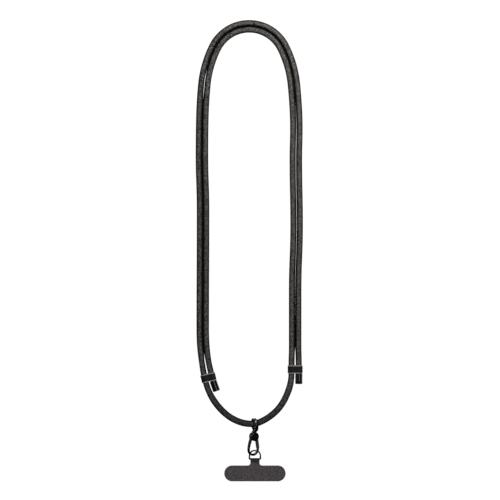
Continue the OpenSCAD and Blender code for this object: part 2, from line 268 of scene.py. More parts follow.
def sweep(name, path, sections, up=(0, 1, 0), closed=False):
    """Carries a section along a path. sections is one section, or a list with one for each point.
    A section's first axis is across the path and its second is near up."""
    path, up = [Vector(p) for p in path], Vector(up)
    count, points = len(path), []
    if not isinstance(sections[0], list):
        sections = [sections] * count
    for k, here in enumerate(path):
        before = path[(k - 1) % count] if closed or k > 0 else here
        after = path[(k + 1) % count] if closed or k < count - 1 else here
        along = (after - before).normalized()
        across = up.cross(along).normalized()
        lift = along.cross(across)
        points += [here + across * x + lift * y for x, y in sections[k]]
    return new_object(name, points, ring_faces(count, len(sections[0]), closed))


def arc(centre, radius, start, end, steps):
    """Points (x, y) along an arc, angles in degrees."""
    turns = [math.radians(start + (end - start) * k / steps) for k in range(steps + 1)]
    return [(centre[0] + radius * math.cos(a), centre[1] + radius * math.sin(a)) for a in turns]


def strip(name, path, thickness, width, edge, rows=10):
    """Flat strip: its middle line runs through (x, y) points and its width is along Z.
    The attribute "cut_edge" is 1 on its raw edges and 0 on its faces."""
    half_t, half_w = thickness / 2, width / 2
    heights = np.linspace(-half_w + edge, half_w - edge, rows)
    x, z = half_t - edge, half_w - edge
    section = [(half_t, height) for height in heights]
    section += arc((x, z), edge, 0, 90, 4)[1:] + arc((-x, z), edge, 90, 180, 4)[1:]
    section += [(-half_t, height) for height in heights[::-1]][1:]
    section += arc((-x, -z), edge, 180, 270, 4)[1:] + arc((x, -z), edge, 270, 360, 4)[1:-1]
    piece = sweep(name, [(x, y, 0) for x, y in path], section, up=(0, 0, 1))
    raw = []
    for k in range(len(path)):
        at_end = k in (0, len(path) - 1)
        raw += [1.0 if at_end or abs(z) > half_w - 1.1 * edge else 0.0 for _, z in section]
    return marked(piece, "cut_edge", raw)


def marked(piece, name, values):
    """Gives every point of a piece a number that its material reads."""
    piece.data.attributes.new(name, "FLOAT", "POINT").data.foreach_set("value", values)
    return piece


def place(piece, matrix):
    """Puts a piece that was built in millimetres into the row frame, in metres."""
    piece.data.transform(Matrix.Scale(MM, 4) @ matrix)
    piece.data.update()
    return piece


def fit(piece, matrix, body, node, slot, look=None):
    """Places the piece and rides it on its body, in place of the CAD node. Its look has the name of
    its slot unless another is given."""
    place(piece, matrix)
    piece.data.materials.clear()
    piece.data.materials.append(LOOKS[look or slot])
    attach(piece, body)
    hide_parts(node)


def box_mm(node):
    low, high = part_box(node)
    return low / MM, high / MM


def size_mm(node):
    low, high = box_mm(node)
    return high - low


def axes_matrix(x, y, z, origin):
    matrix = Matrix((x, y, z)).transposed().to_4x4()
    matrix.translation = origin
    return matrix


# ==== shader tools ====

def linear(code):
    """Linear colour from an sRGB hex code."""
    values = [int(code[k:k + 2], 16) / 255 for k in (0, 2, 4)]
    return [v / 12.92 if v <= 0.04045 else ((v + 0.055) / 1.055) ** 2.4 for v in values] + [1.0]


class Value:
    """A number that shader nodes work out, so that a pattern reads as a formula."""

    def __init__(self, shader, socket):
        self.shader = shader
        self.socket = socket

    def done(self, operation, *others):
        return self.shader.math(operation, self, *others)

    def __add__(self, other):
        return self.done("ADD", other)

    def __sub__(self, other):
        return self.done("SUBTRACT", other)

    def __mul__(self, other):
        return self.done("MULTIPLY", other)

    def __truediv__(self, other):
        return self.done("DIVIDE", other)

    def wave(self):
        """1 at every whole number and -1 half way between."""
        return (self * (2 * math.pi)).done("COSINE")

    def to_nearest(self):
        return self - self.done("ROUND")

    def over(self, limit):
        return self.done("GREATER_THAN", limit)

    def largest(self, other):
        return self.done("MAXIMUM", other)

    def between(self, low, high):
        """0 at low, 1 at high, smooth between them."""
        inputs = {"Value": self, "From Min": low, "From Max": high}
        node = self.shader.add("ShaderNodeMapRange", inputs, interpolation_type="SMOOTHSTEP")
        return Value(self.shader, node.outputs["Result"])


class Shader:
    """One procedural material."""

    def __init__(self, name):
        self.material = bpy.data.materials.new(name)
        self.material.use_nodes = True
        self.nodes = self.material.node_tree.nodes
        self.links = self.material.node_tree.links
        self.surface = self.nodes["Principled BSDF"]
        inputs = {0: self.add("ShaderNodeTexCoord").outputs["Object"], "Scale": 1 / MM}
        # Where the point is, in millimetres
        self.place = self.add("ShaderNodeVectorMath", inputs, operation="SCALE").outputs[0]

    def add(self, kind, inputs=(), **settings):
        """New node with its settings, and with its inputs fed by name or number."""
        node = self.nodes.new(kind)
        for key, value in settings.items():
            setattr(node, key, value)
        for key, value in dict(inputs).items():
            self.feed(node.inputs[key], value)
        return node

    def feed(self, socket, value):
        """Links a Value or a socket, and sets a colour from its hex code, or a number."""
        if isinstance(value, Value):
            self.links.new(value.socket, socket)
        elif isinstance(value, bpy.types.NodeSocket):
            self.links.new(value, socket)
        else:
            socket.default_value = linear(value) if isinstance(value, str) else value

    def math(self, operation, *values):
        return Value(self, self.add("ShaderNodeMath", enumerate(values), operation=operation).outputs[0])

    def split(self, vector):
        return [Value(self, s) for s in self.add("ShaderNodeSeparateXYZ", {0: vector}).outputs]

    def uv(self, name):
        return self.split(self.add("ShaderNodeUVMap", uv_map=name).outputs["UV"])[:2]

    def attribute(self, name):
        return Value(self, self.add("ShaderNodeAttribute", attribute_name=name).outputs["Fac"])

    def facing(self):
        """1 where the surface turns away from the eye."""
        return Value(self, self.add("ShaderNodeLayerWeight").outputs["Facing"])

    def stretched(self, x, y, z):
        inputs = {0: self.place, 1: (x, y, z)}
        return self.add("ShaderNodeVectorMath", inputs, operation="MULTIPLY").outputs[0]

    def noise(self, scale, detail=3.0, rough=0.55, vector=None):
        """Cloudy noise from 0 to 1, with scale features to a millimetre."""
        inputs = {"Vector": vector or self.place, "Scale": scale, "Detail": detail, "Roughness": rough}
        return Value(self, self.add("ShaderNodeTexNoise", inputs).outputs["Fac"])

    def cells(self, scale, feature):
        inputs = {"Vector": self.place, "Scale": scale}
        return Value(self, self.add("ShaderNodeTexVoronoi", inputs, feature=feature).outputs["Distance"])

    def blend(self, share, first, second):
        """Colour between two others, each one a hex code or a socket."""
        inputs = {"Factor": share, 6: first, 7: second}
        return self.add("ShaderNodeMix", inputs, data_type="RGBA").outputs[2]

    def bump(self, height, depth, strength=1.0, after=None):
        """Relief of the given depth in millimetres, on top of the relief after."""
        inputs = {"Strength": strength, "Distance": depth * MM, "Height": height}
        if after is not None:
            inputs["Normal"] = after
        return self.add("ShaderNodeBump", inputs).outputs["Normal"]

    def finish(self, **inputs):
        for name, value in inputs.items():
            self.feed(self.surface.inputs[name.replace("_", " ")], value)
        return self.material


# ==== materials ====

def woven(one, other, roundness):
    """Two kinds of strand that run at whole numbers of one and of other, and pass over each other in
    turn. Gives the height, and 1 where a strand of the first kind is on top."""
    one_off, other_off = one.to_nearest(), other.to_nearest()
    first = ((one - one_off + other) / 2).wave() * 0.5 - one_off * one_off * roundness
    second = ((other - other_off + one) / 2).wave() * -0.5 - other_off * other_off * roundness
    return first.largest(second), first.over(second)


def braid_material():
    """Tight diamond braid. The UV map counts the mesh's points round and along the cord."""
    s = Shader("braid")
    around, along = s.uv("braid")
    one, other = (around + along) / 2, (around - along) / 2
    weave, on_top = woven(one, other, 1.6)
    fibres = (one * 5).wave() * on_top + (other * 5).wave() * (on_top * -1 + 1)
    fuzz = s.noise(6.0, 4.0)
    drift = s.noise(0.22, 3.0)
    mottle = s.noise(0.9, 2.0, 0.6)
    x, _, height = s.split(s.place)
    # Painted light: the cord's colour is lighter towards the right, where more light falls.
    painted_light_right = x.between(-50, 50) * 0.12 - 0.04
    # Part of this tone is painted shade: the low places of the weave, where strands dive under each other,
    # are darker.
    shade = weave * 0.42 + fibres * 0.05 + fuzz * 0.5 + drift * 0.2 + mottle * 3.4 + painted_light_right
    dark, light = "171616", "5f5c59"
    colour = s.blend(shade.between(1.5, 2.75), dark, light)
    # Painted shade: the cord's colour darkens towards the clip, at the bottom of the loop.
    clear_of_painted_shade = height.between(*LOOP_PAINTED_SHADE)
    colour = s.blend(clear_of_painted_shade * -0.55 + 0.55, colour, dark)
    # Painted shade: the colour turns near black where the surface turns away from the eye, and along the
    # lines where two strands lie against each other.
    edge = s.facing().between(0.0, 0.45) * 0.85
    edge = edge.largest(s.attribute("painted_gap_shade").between(0.15, 0.8) * 0.96)
    colour = s.blend(edge, colour, "030303")
    relief = s.bump(weave + fibres * 0.12, 0.11, 0.9)
    relief = s.bump(fuzz, 0.05, 0.5, relief)
    return s.finish(Base_Color=colour, Roughness=0.85, Normal=relief, Sheen_Weight=0.01,
                    Specular_IOR_Level=edge * -0.12 + 0.14)


def core_material():
    s = Shader("cord_core")
    x, y, z = s.split(s.place)
    twist = (x * 0.7 + y * 0.9 + z * 0.5).wave()
    fibres = s.noise(7.0, 5.0, vector=s.stretched(1, 1, 0.25))
    colour = s.blend((twist * 0.25 + fibres).between(0.1, 1.0), "4f4c48", "98938c")
    return s.finish(Base_Color=colour, Roughness=0.9, Normal=s.bump(twist + fibres, 0.12, 0.8),
                    Sheen_Weight=0.2)


def leather_material():
    """Smooth dark leather: fine pebbled grain, polish on the faces, lighter raw edges, partly their own
    colour and partly a painted highlight.
    """
    s = Shader("leather")
    pebbles = s.cells(3.4, "SMOOTH_F1")
    creases = s.cells(1.5, "DISTANCE_TO_EDGE").between(0.0, 0.22)
    pores = s.noise(11.0, 4.0)
    worn = s.noise(0.55, 4.0)
    raw = s.attribute("cut_edge")
    face = s.blend((worn * 0.7 + pores * 0.35).between(0.2, 0.85), "0e0d0d", "1f1d1d")
    # Raw edges: lighter, partly the cut leather's own colour and partly a painted highlight where the edges
    # catch the light.
    fibres = s.noise(4.5, 5.0)
    edge = s.blend(fibres.between(0.2, 0.8), "7d7a78", "b4b1ae")
    colour = s.blend(raw.between(0.25, 0.8), face, edge)
    relief = s.bump(pebbles * -0.7 + creases * 0.3 + pores * 0.25, 0.07, 0.55)
    roughness = pores * 0.2 + worn * 0.12 + raw * 0.35 + 0.38
    return s.finish(Base_Color=colour, Roughness=roughness, Normal=relief, Specular_IOR_Level=0.2,
                    Sheen_Weight=0.02)


def thread_material():
    s = Shader("thread")
    fibres = s.noise(9.0, 4.0)
    colour = s.blend(fibres.between(0.25, 0.75), "171617", "3a3738")
    return s.finish(Base_Color=colour, Roughness=0.5, Normal=s.bump(fibres, 0.04, 0.6),
                    Sheen_Weight=0.15)


def metal_material(name, base, worn, roughness):
    """Black nickel over cast zinc, with a faint orange peel, hairlines and rubbed spots."""
    s = Shader(name)
    peel = s.noise(1.6, 2.0)
    hairlines = s.noise(5.0, 5.0, 0.7, s.stretched(1.0, 1.0, 0.12))
    rubbed = s.noise(0.8, 5.0, 0.65)
    colour = s.blend(rubbed.between(0.5, 0.8), base, worn)
    rough = hairlines * 0.14 + rubbed * 0.1 + roughness
    relief = s.bump(peel, 0.03, 0.25)
    relief = s.bump(hairlines, 0.01, 0.3, relief)
    return s.finish(Base_Color=colour, Metallic=1.0, Roughness=rough, Normal=relief)


def lacquer_material(name, roughness=0.05):
    """Gloss black lacquer: deep black under a clear coat with dust and faint scratches."""
    s = Shader(name)
    dust = s.noise(3.0, 6.0, 0.7)
    scratches = s.noise(2.2, 4.0, 0.6, s.stretched(0.25, 1.0, 2.2))
    colour = s.blend(dust.between(0.55, 0.85), "040405", "0a0a0b")
    rough = scratches * 0.05 + dust * 0.03 + roughness
    relief = s.bump(scratches, 0.001, 0.2)
    return s.finish(Base_Color=colour, Roughness=rough, Normal=relief, Specular_IOR_Level=0.4,
                    Coat_Weight=0.6, Coat_Roughness=0.06)


def plain_material(name, noise, dark, light, roughness, relief, **others):
    """One fine grain in the colour, in the gloss and in the relief."""
    s = Shader(name)
    grain = s.noise(*noise)
    return s.finish(Base_Color=s.blend(grain, dark, light), Roughness=grain * 0.2 + roughness,
                    Normal=s.bump(grain, *relief), **others)


def weave_material(name, dark, light, pitch, depth):
    """Plain weave along X and Z with uneven yarns, with painted shade in its low places and towards the
    rim.
    """
    s = Shader(name)
    x, _, z = s.split(s.place)
    sway = s.noise(0.5, 2.0) * 0.35
    across, up = x / pitch + sway, z / pitch + sway
    weave, warp_on_top = woven(across, up, 1.5)
    yarns = s.noise(1.1, 3.0, 0.6, s.stretched(1.0, 0.2, 0.12)) * warp_on_top
    yarns = yarns + s.noise(1.1, 3.0, 0.6, s.stretched(0.12, 0.2, 1.0)) * (warp_on_top * -1 + 1)
    specks = s.noise(0.9, 3.0, 0.75)
    fuzz = s.noise(8.0, 3.0)
    # Part of this tone is painted shade: the low places of the weave are darker.
    shade = weave * 0.22 + yarns * 0.75 + specks * 2.2 + fuzz * 0.2
    colour = s.blend(shade.between(1.1, 2.15), dark, light)
    # Painted shade: the colour darkens towards the rim, where the rounded edge turns away from the light.
    painted_rim_shade = s.attribute("cut_edge").between(0.0, 1.0)
    colour = s.blend(painted_rim_shade * 0.55, colour, "1a1819")
    relief = s.bump(weave, depth, 0.9)
    relief = s.bump(fuzz, 0.03, 0.5, relief)
    return s.finish(Base_Color=colour, Roughness=0.86, Normal=relief, Specular_IOR_Level=0.2,
                    Sheen_Weight=0.06, Sheen_Roughness=0.5)


def backing_material():
    """Smooth non-slip backing with a fine pebbled skin."""
    s = Shader("tab_backing")
    skin = s.cells(4.5, "SMOOTH_F1")
    smudge = s.noise(0.25, 3.0)
    fine = s.noise(9.0, 3.0)
    colour = s.blend((smudge * 0.8 + fine * 0.3).between(0.2, 0.9), "1f1d1f", "322f31")
    return s.finish(Base_Color=colour, Roughness=smudge * 0.15 + 0.5, Normal=s.bump(skin, 0.05, 0.6),
                    Specular_IOR_Level=0.35)


LOOKS = {
    "cord": braid_material(),
    "core": core_material(),
    "leather": leather_material(),
    "thread": thread_material(),
    "gunmetal": metal_material("gunmetal", "454346", "5a585c", 0.09),
    # Painted light: the gate gets a lighter, rougher copy of the black nickel, so that it shows more light
    # than the hook.
    "gate_metal_painted_light": metal_material("gate_metal_painted_light", "7c7a7e", "8b898d", 0.34),
    "polished_black": lacquer_material("polished_black", 0.03),
    "end_cap": lacquer_material("end_cap"),
    "spring_steel": plain_material("spring_steel", (8.0, 4.0, 0.6), "8d8c8e", "c9c8ca", 0.22, (0.01, 0.4),
                                   Metallic=1.0),
    "tab_fabric": weave_material("tab_fabric", "272425", "605a5c", 0.62, 0.09),
    # The fabric loop gets a darker copy of the tab's fabric: painted shade where it wraps the ring's bar.
    "fold": weave_material("fold_fabric_painted_shade", "151415", "353234", 0.62, 0.09),
    "tab_backing": backing_material(),
    "tab_core": plain_material("tab_core", (6.0, 4.0), "161516", "232122", 0.5, (0.02, 0.5)),
}


# ==== cord ====

def core_start():
    """The walls of the CAD core, to cast rays at, and the middle of its end in the right cap."""
    core = frame["nodes"]["cord_core"].data
    walls = BVHTree.FromPolygons([v.co / MM for v in core.vertices], [p.vertices for p in core.polygons])
    cap_low, cap_high = box_mm("right_end_cap")
    mouth = Vector(((cap_low.x + cap_high.x) / 2, 0, cap_high.z))
    return walls, walls.ray_cast(mouth, Vector((0, 0, -1)))[0]


def trace_cord():
    """Centre line of the cord in the XZ plane, in millimetres, from the right cap to the left cap.
    It walks up the inside of the CAD core and keeps half way between its two walls."""
    walls, first = core_start()
    along = Vector((0, 0, 1))
    points = [first]
    here = first + along * TRACE_STEP
    while True:
        side = Vector((-along.z, 0, along.x))
        left, right = walls.ray_cast(here, side)[0], walls.ray_cast(here, -side)[0]
        here = (left + right) / 2
        points.append(here)
        back = points[-4] if len(points) > 4 else points[0]
        along = (here - back).normalized()
        end, _, _, room = walls.ray_cast(here, along)
        if room is not None and room < 1.5 * TRACE_STEP:
            points.append(end)
            break
        here = here + along * TRACE_STEP
    return np.array([(p.x, p.z) for p in points])


def smoothed(points, reach=7):
    """Takes the facets out of a line without pulling its bends in."""
    offsets = np.arange(-reach, reach + 1)
    weights = np.linalg.pinv(np.vander(offsets, 3))[2]
    inner = np.stack([np.convolve(points[:, k], weights[::-1], "valid") for k in (0, 1)], 1)
    line = points.copy()
    line[reach:len(points) - reach] = inner
    return line


def evenly(points, pitch):
    """The same line with points pitch apart, and its direction at each of them."""
    steps = np.hypot(*np.diff(points, axis=0).T)
    length = np.concatenate([[0], np.cumsum(steps)])
    count = int(length[-1] / pitch)
    at = np.linspace(0, length[-1], count)
    line = np.stack([np.interp(at, length, points[:, k]) for k in (0, 1)], 1)
    run = np.gradient(line, axis=0)
    kernel = np.hanning(9)[1:-1]
    kernel = kernel / kernel.sum()
    ends = len(kernel) // 2
    padded = np.pad(run, ((ends, ends), (0, 0)), "edge")
    run = np.stack([np.convolve(padded[:, k], kernel, "valid") for k in (0, 1)], 1)
    return line, run / np.hypot(*run.T)[:, None]


def pair_bulge(line, run, radius):
    """How far each row bulges on its left and on its right, how much it is paired with a strand
    beside it (0 to 1), and on which side that strand is (1 for the left). The strands touch,
    except where RIGHT_GAPS and LEFT_GAPS let a little light through."""
    apart = np.hypot(*(line[:, None, :] - line[None, :, :]).transpose(2, 0, 1))
    order = np.arange(len(line))
    apart[np.abs(order[:, None] - order[None, :]) * BRAID_ROW < 4 * SIDE_BY_SIDE] = np.inf
    nearest = apart.argmin(1)
    distance = apart[order, nearest]
    across = np.stack([-run[:, 1], run[:, 0]], 1)
    side = np.sign(((line[nearest] - line) * across).sum(1))
    on_right = np.interp(line[:, 0], RIGHT_SIDE, (0, 1))
    right_gap, left_gap = np.interp(line[:, 1], *RIGHT_GAPS), np.interp(line[:, 1], *LEFT_GAPS)
    gap = right_gap * on_right + left_gap * (1 - on_right)
    alone = np.clip(distance - SIDE_BY_SIDE - 0.6, 0, 1) * FREE_BULGE
    away = np.where(distance < SIDE_BY_SIDE, FREE_BULGE, alone)
    towards = np.clip((distance - gap) / 2 - radius, PRESSED, SWOLLEN)
    towards = np.where(distance < SIDE_BY_SIDE, towards, alone)
    smooth = np.full(9, 1 / 9)
    left = np.where(side > 0, towards, away)
    right = np.where(side > 0, away, towards)
    paired = np.convolve(np.clip((SIDE_BY_SIDE + 0.5 - distance) / 0.8, 0, 1), smooth, "same")
    return np.convolve(left, smooth, "same"), np.convolve(right, smooth, "same"), paired, side


def tube_points(line, run, radius, sides):
    """Rings round a line in the XZ plane. radius has one value for each row and side."""
    turn = 2 * np.pi * np.arange(sides) / sides
    side = np.stack([-run[:, 1], np.zeros(len(run)), run[:, 0]], 1)
    centre = np.stack([line[:, 0], np.zeros(len(line)), line[:, 1]], 1)
    across = np.cos(turn)[None, :, None] * side[:, None, :]
    face = np.sin(turn)[None, :, None] * np.array([0.0, -1.0, 0.0])
    return (centre[:, None, :] + radius[:, :, None] * (across + face)).reshape(-1, 3)


def sheath_radius(line, run):
    """Outside radius at each point, and how deep the point is in the line between two strands (0 to 1), for
    the painted shade there.
    """
    rows, sides = len(line), BRAID_SIDES
    row, side = np.meshgrid(np.arange(rows), np.arange(sides), indexing="ij")
    crest = (row + side) % 2 == 0
    cad_radius = size_mm("cord_sheath").y / 2
    capped = np.minimum(np.arange(rows), rows - 1 - np.arange(rows)) * BRAID_ROW < cap_cover()
    radius = cad_radius + np.where(crest, BRAID_CREST, BRAID_VALLEY) + capped[:, None] * BRAID_IN_CAP
    left, right, paired, beside = pair_bulge(line, run, cad_radius + (BRAID_CREST + BRAID_VALLEY) / 2)
    across = np.cos(2 * np.pi * np.arange(sides) / sides)[None, :]
    radius = radius + left[:, None] * np.clip(across, 0, 1) ** 2
    radius = radius + right[:, None] * np.clip(-across, 0, 1) ** 2
    radius = radius - capped[:, None] * np.maximum(radius - cad_radius - BRAID_CAP_LIMIT, 0)
    return radius, paired[:, None] * np.clip(across * beside[:, None], 0, 1)


def sheath_faces(rows, sides, lining_rows):
    """Triangles outside, split so that every crossing is a small pyramid, quads in the lining, and rims."""
    faces = []
    for r in range(rows - 1):
        for k in range(sides):
            a, b = r * sides + k, r * sides + (k + 1) % sides
            c, d = b + sides, a + sides
            faces += [(a, b, d), (b, c, d)] if (r + k) % 2 == 0 else [(a, b, c), (a, c, d)]
    first, inner = rows * sides, sides // 2
    for r in range(lining_rows - 1):
        for k in range(inner):
            a, b = first + r * inner + k, first + r * inner + (k + 1) % inner
            faces.append((b, a, a + inner, b + inner))
    top, last = (rows - 1) * sides, first + (lining_rows - 1) * inner
    for k in range(inner):
        n = (k + 1) % inner
        p, q, t = 2 * k, 2 * k + 1, (2 * k + 2) % sides
        faces += [(q, p, first + k), (q, first + k, first + n), (t, q, first + n)]
        faces += [(top + p, top + q, last + k), (top + q, last + n, last + k), (top + q, top + t, last + n)]
    return faces


def build_cord(line, run):
    """Sheath: braided outside, plain lining inside, closed at both ends."""
    rows, sides = len(line), BRAID_SIDES
    radius, painted_gap_shade = sheath_radius(line, run)
    picked = np.unique(np.append(np.arange(0, rows, LINING_EVERY), rows - 1))
    lining_r = np.full((len(picked), sides // 2), size_mm("cord_core").y / 2 + LINING_GAP)
    outside = tube_points(line, run, radius, sides)
    lining = tube_points(line[picked], run[picked], lining_r, sides // 2)
    points = np.concatenate([outside, lining])
    cord = new_object("cord_braid", points, sheath_faces(rows, sides, len(picked)))
    add_braid_uv(cord, rows, sides)
    # Mask of the painted shade along the lines where two strands lie against each other.
    marked(cord, "painted_gap_shade", np.append(painted_gap_shade.ravel(), np.zeros(len(lining))).astype(np.float32))
    fit(cord, HERE, "cord", "cord_sheath", "cord")


def add_braid_uv(cord, rows, sides):
    """Counts points round and along the cord. The last face of a row runs on past the seam."""
    corner = np.empty(len(cord.data.loops), np.int64)
    cord.data.loops.foreach_get("vertex_index", corner)
    around = (corner % sides).astype(float)
    along = (corner // sides).astype(float)
    braided = 2 * sides * (rows - 1) * 3
    faces = around[:braided].reshape(-1, 3)
    wraps = (faces.max(1) - faces.min(1)) > sides / 2
    faces[wraps] = np.where(faces[wraps] < sides / 2, faces[wraps] + sides, faces[wraps])
    layer = cord.data.uv_layers.new(name="braid")
    layer.data.foreach_set("uv", np.stack([around, along], 1).astype(np.float32).ravel())


def cap_cover():
    """Length of cord inside a cap."""
    return box_mm("right_end_cap")[1].z - core_start()[1].z


def build_cap(name, node, end, outward):
    """End cap: a tube with a closed, rounded end and a softened mouth."""
    radius, length = size_mm("right_end_cap").x / 2, size_mm("right_end_cap").z
    bore = size_mm("cord_sheath").y / 2 + CAP_PLAY
    cover = cap_cover()
    floor = cover + CAP_ROOM
    rim = arc((radius - CAP_LIP, CAP_LIP), CAP_LIP, -90, 0, 3)
    far = arc((radius - CAP_EDGE, length - CAP_EDGE), CAP_EDGE, 0, 90, 6)
    profile = [(0, floor), (bore, floor), (bore, CAP_LIP), (bore + CAP_LIP, 0)]
    profile += rim + far + [(0, length)]
    cap = lathe(name, profile, 72)
    z = Vector((outward[0], 0, outward[1]))
    y = Vector((0, 1, 0))
    x = y.cross(z)
    mouth = Vector((end[0], 0, end[1])) - z * cover
    fit(cap, axes_matrix(x, y, z, mouth), "cord", node, "end_cap")


# ==== sliders ====

def slider_matrix(node, tilt):
    """Middle of a slider. X is across the strands and Z is up along them."""
    low, high = box_mm(node)
    centre = Vector(((low.x + high.x) / 2, 0, (low.z + high.z) / 2))
    return Matrix.Translation(centre) @ Matrix.Rotation(-math.radians(tilt), 4, "Y")


def band_path(half_pitch):
    """Middle of the leather: from the inner end of the lap, round both strands, to the outer end."""
    r = BAND_INSIDE_R + LEATHER_T / 2
    outer = r + LEATHER_T + LAP_GAP
    path = [(x, r) for x in np.linspace(LAP_REACH - 0.2, -half_pitch, 10)]
    path += arc((-half_pitch, 0), r, 90, 270, 28)[1:]
    path += [(x, -r) for x in np.linspace(-half_pitch, half_pitch, 22)][1:]
    path += arc((half_pitch, 0), r, -90, 72, 26)[1:]
    start = path[-1]
    for share in np.linspace(0, 1, 9)[1:]:
        ease = share * share * (3 - 2 * share)
        x = start[0] + (LAP_REACH - 0.1 - start[0]) * share
        path.append((x, start[1] + (outer - start[1]) * ease))
    path += [(x, outer) for x in np.linspace(LAP_REACH - 0.1, -LAP_REACH, 10)][1:]
    return path


def build_band(name, matrix, pitch, height, body, node):
    band = strip(name, band_path(pitch / 2), LEATHER_T, height, 0.2)
    for v in band.data.vertices:
        if v.co.y < 0:
            between = math.exp(-(v.co.x / DENT_W) ** 2)
            v.co.y += BAND_DENT * between * (1 - 0.2 * (2 * v.co.z / height) ** 2)
        # The mouths of the band open a little where the strands enter.
        v.co.y *= 1 + 0.006 * (2 * v.co.z / height) ** 4
    fit(band, matrix, body, node, "leather")


def stitch(first, last, face, sink, outward):
    """Two plies of thread laid round each other, from inside the material, over its face and back in."""
    first, last, outward = Vector(first), Vector(last), Vector(outward)
    path = []
    for share in np.linspace(0, 1, 17):
        lift = math.sin(math.pi * share) ** 0.35
        path.append(first.lerp(last, share) + outward * (face - sink * (1 - lift)))
    up = Vector((0.31, 0.77, 0.55)).normalized()
    plies = []
    for ply in (0, math.pi):
        line = []
        for k, here in enumerate(path):
            along = (path[min(k + 1, len(path) - 1)] - path[max(k - 1, 0)]).normalized()
            across = up.cross(along).normalized()
            a = ply + 2 * math.pi * STITCH_TWISTS * k / (len(path) - 1)
            out = across * math.cos(a) + along.cross(across) * math.sin(a)
            line.append(here + out * THREAD_D * 0.22)
        plies.append(sweep("ply", line, round_section(THREAD_D * 0.58, 8), up))
    return plies


def build_band_stitches(name, matrix, body, node):
    face = BAND_INSIDE_R + 2 * LEATHER_T + LAP_GAP + THREAD_D * 0.42
    plies = []
    for x in STITCH_X:
        for z in STITCH_Z:
            ends = [(x, 0, z - STITCH_L / 2), (x, 0, z + STITCH_L / 2)]
            plies += stitch(*ends, face, 0.75, (0, 1, 0))
    fit(joined(name, plies), matrix, body, node, "thread")


# ==== snap hook ====

def hook_matrices():
    """The swivel's frame, with its origin on the cord, and the hook's, with its origin in its head."""
    up = Vector(JOINTS["hook_swivel"]["axis"]).normalized()
    clip = Vector(JOINTS["hook_swivel"]["pos_m"]) / MM
    face_back = Vector((0, 1, 0))
    swivel = axes_matrix(face_back.cross(up).normalized(), face_back, up, clip)
    back = Vector(JOINTS["gate_open"]["axis"]).normalized()
    right = back.cross(up).normalized()
    pivot = Vector(JOINTS["gate_open"]["pos_m"]) / MM
    head = pivot - right * PIVOT.x - up * PIVOT.z
    return swivel, axes_matrix(right, back, up, head)


def moved(piece, offset):
    piece.data.transform(Matrix.Translation(offset))
    return piece


def along_y(piece, offset=(0, 0, 0)):
    """Turns a piece's axis from Z to Y, and then moves it."""
    piece.data.transform(Matrix.Rotation(math.pi / 2, 4, "X"))
    return moved(piece, offset)


def block(name, low, high):
    """Cutter with flat sides."""
    x, y = (low[0], high[0]), (low[1], high[1])
    ring = [(x[0], y[0]), (x[1], y[0]), (x[1], y[1]), (x[0], y[1])]
    return new_object(name, [(a, b, z) for z in (low[2], high[2]) for a, b in ring], ring_faces(2, 4))


def rod(name, radius, low, high, sides=48):
    return lathe(name, [(radius, low), (radius, high)], sides)


def hook_line():
    """Middle of the hook's bar in (x, z): down the leg, round the bow and up to the nose."""
    top, knee = Vector(LEG_TOP), Vector((-BOW_R, BOW_Z))
    lean, drop = Vector((-0.16, -1)).normalized() * 4.5, Vector((0, -4.5))
    line = []
    for t in np.linspace(0, 1, 25):
        s = 1 - t
        start = top * s ** 3 + (top + lean) * 3 * s * s * t
        line.append(start + (knee - drop) * 3 * s * t * t + knee * t ** 3)
    line += [Vector(p) for p in arc((0, BOW_Z), BOW_R, 180, 360, 44)[1:]]
    line += [Vector((BOW_R, BOW_Z + NOSE_L * k / NOSE_STEPS)) for k in range(1, NOSE_STEPS + 1)]
    return line


def build_collar():
    """Cone on top of the head that the swivel's post goes through."""
    r = COLLAR_D / 2
    rim = [(r + 0.1, COLLAR_TOP - 0.4), (r - 0.12, COLLAR_TOP - 0.16), (r - 0.4, COLLAR_TOP)]
    return lathe("collar", [(r + 0.5, 1.0)] + rim + [(0, COLLAR_TOP)])


def gate_sweep():
    """The part of the gate's round sweep that cuts the nose, and leaves the leg alone."""
    sweep_round = along_y(rod("gate_sweep", GATE_REACH + GATE_GAP, -6, 6, 160), PIVOT)
    nose_side = block("nose_side", (BOW_R - 2, -3, BOW_Z + 0.4), (BOW_R + 2, 3, BOW_Z + 6))
    return cut(nose_side, sweep_round, operation="INTERSECT")


def build_hook(matrix):
    line = hook_line()
    sections = []
    for p in line:
        leg = min(1.0, max(0.0, (p.y - BOW_Z) / LEG_TAPER)) if p.x < 0 else 0.0
        sections.append(soft_bar_section(BOW_W + (LEG_W - BOW_W) * leg, BOW_T + (LEG_T - BOW_T) * leg))
    bar = sweep("bar", [(p.x, 0, p.y) for p in line], sections)
    head = along_y(lathe("head", rounded_disc(HEAD_D / 2, -HEAD_T / 2, HEAD_T / 2, HEAD_EDGE), 96))
    cut(bar, gate_sweep())
    hook = cast(joined("hook_casting", [bar, head, build_collar()]), voxel=0.1, smoothing=0)
    slot = block("slot", (SLOT_LEFT, -SLOT_W / 2, -8), (8, SLOT_W / 2, SLOT_TOP))
    bore = rod("bore", POST_D / 2 + 0.06, 0, 10)
    recesses = []
    for face in (-1, 1):
        recess = rod("recess", DISC_D / 2 + 0.03, -DISC_SINK, DISC_SINK, 96)
        recesses.append(along_y(recess, (0, face * HEAD_T / 2, 0)))
    cut(hook, slot, bore, *recesses)
    hook = cast(hook, voxel=0.085, smoothing=5)
    fit(hook, matrix, "hook", "hook_body", "gunmetal")


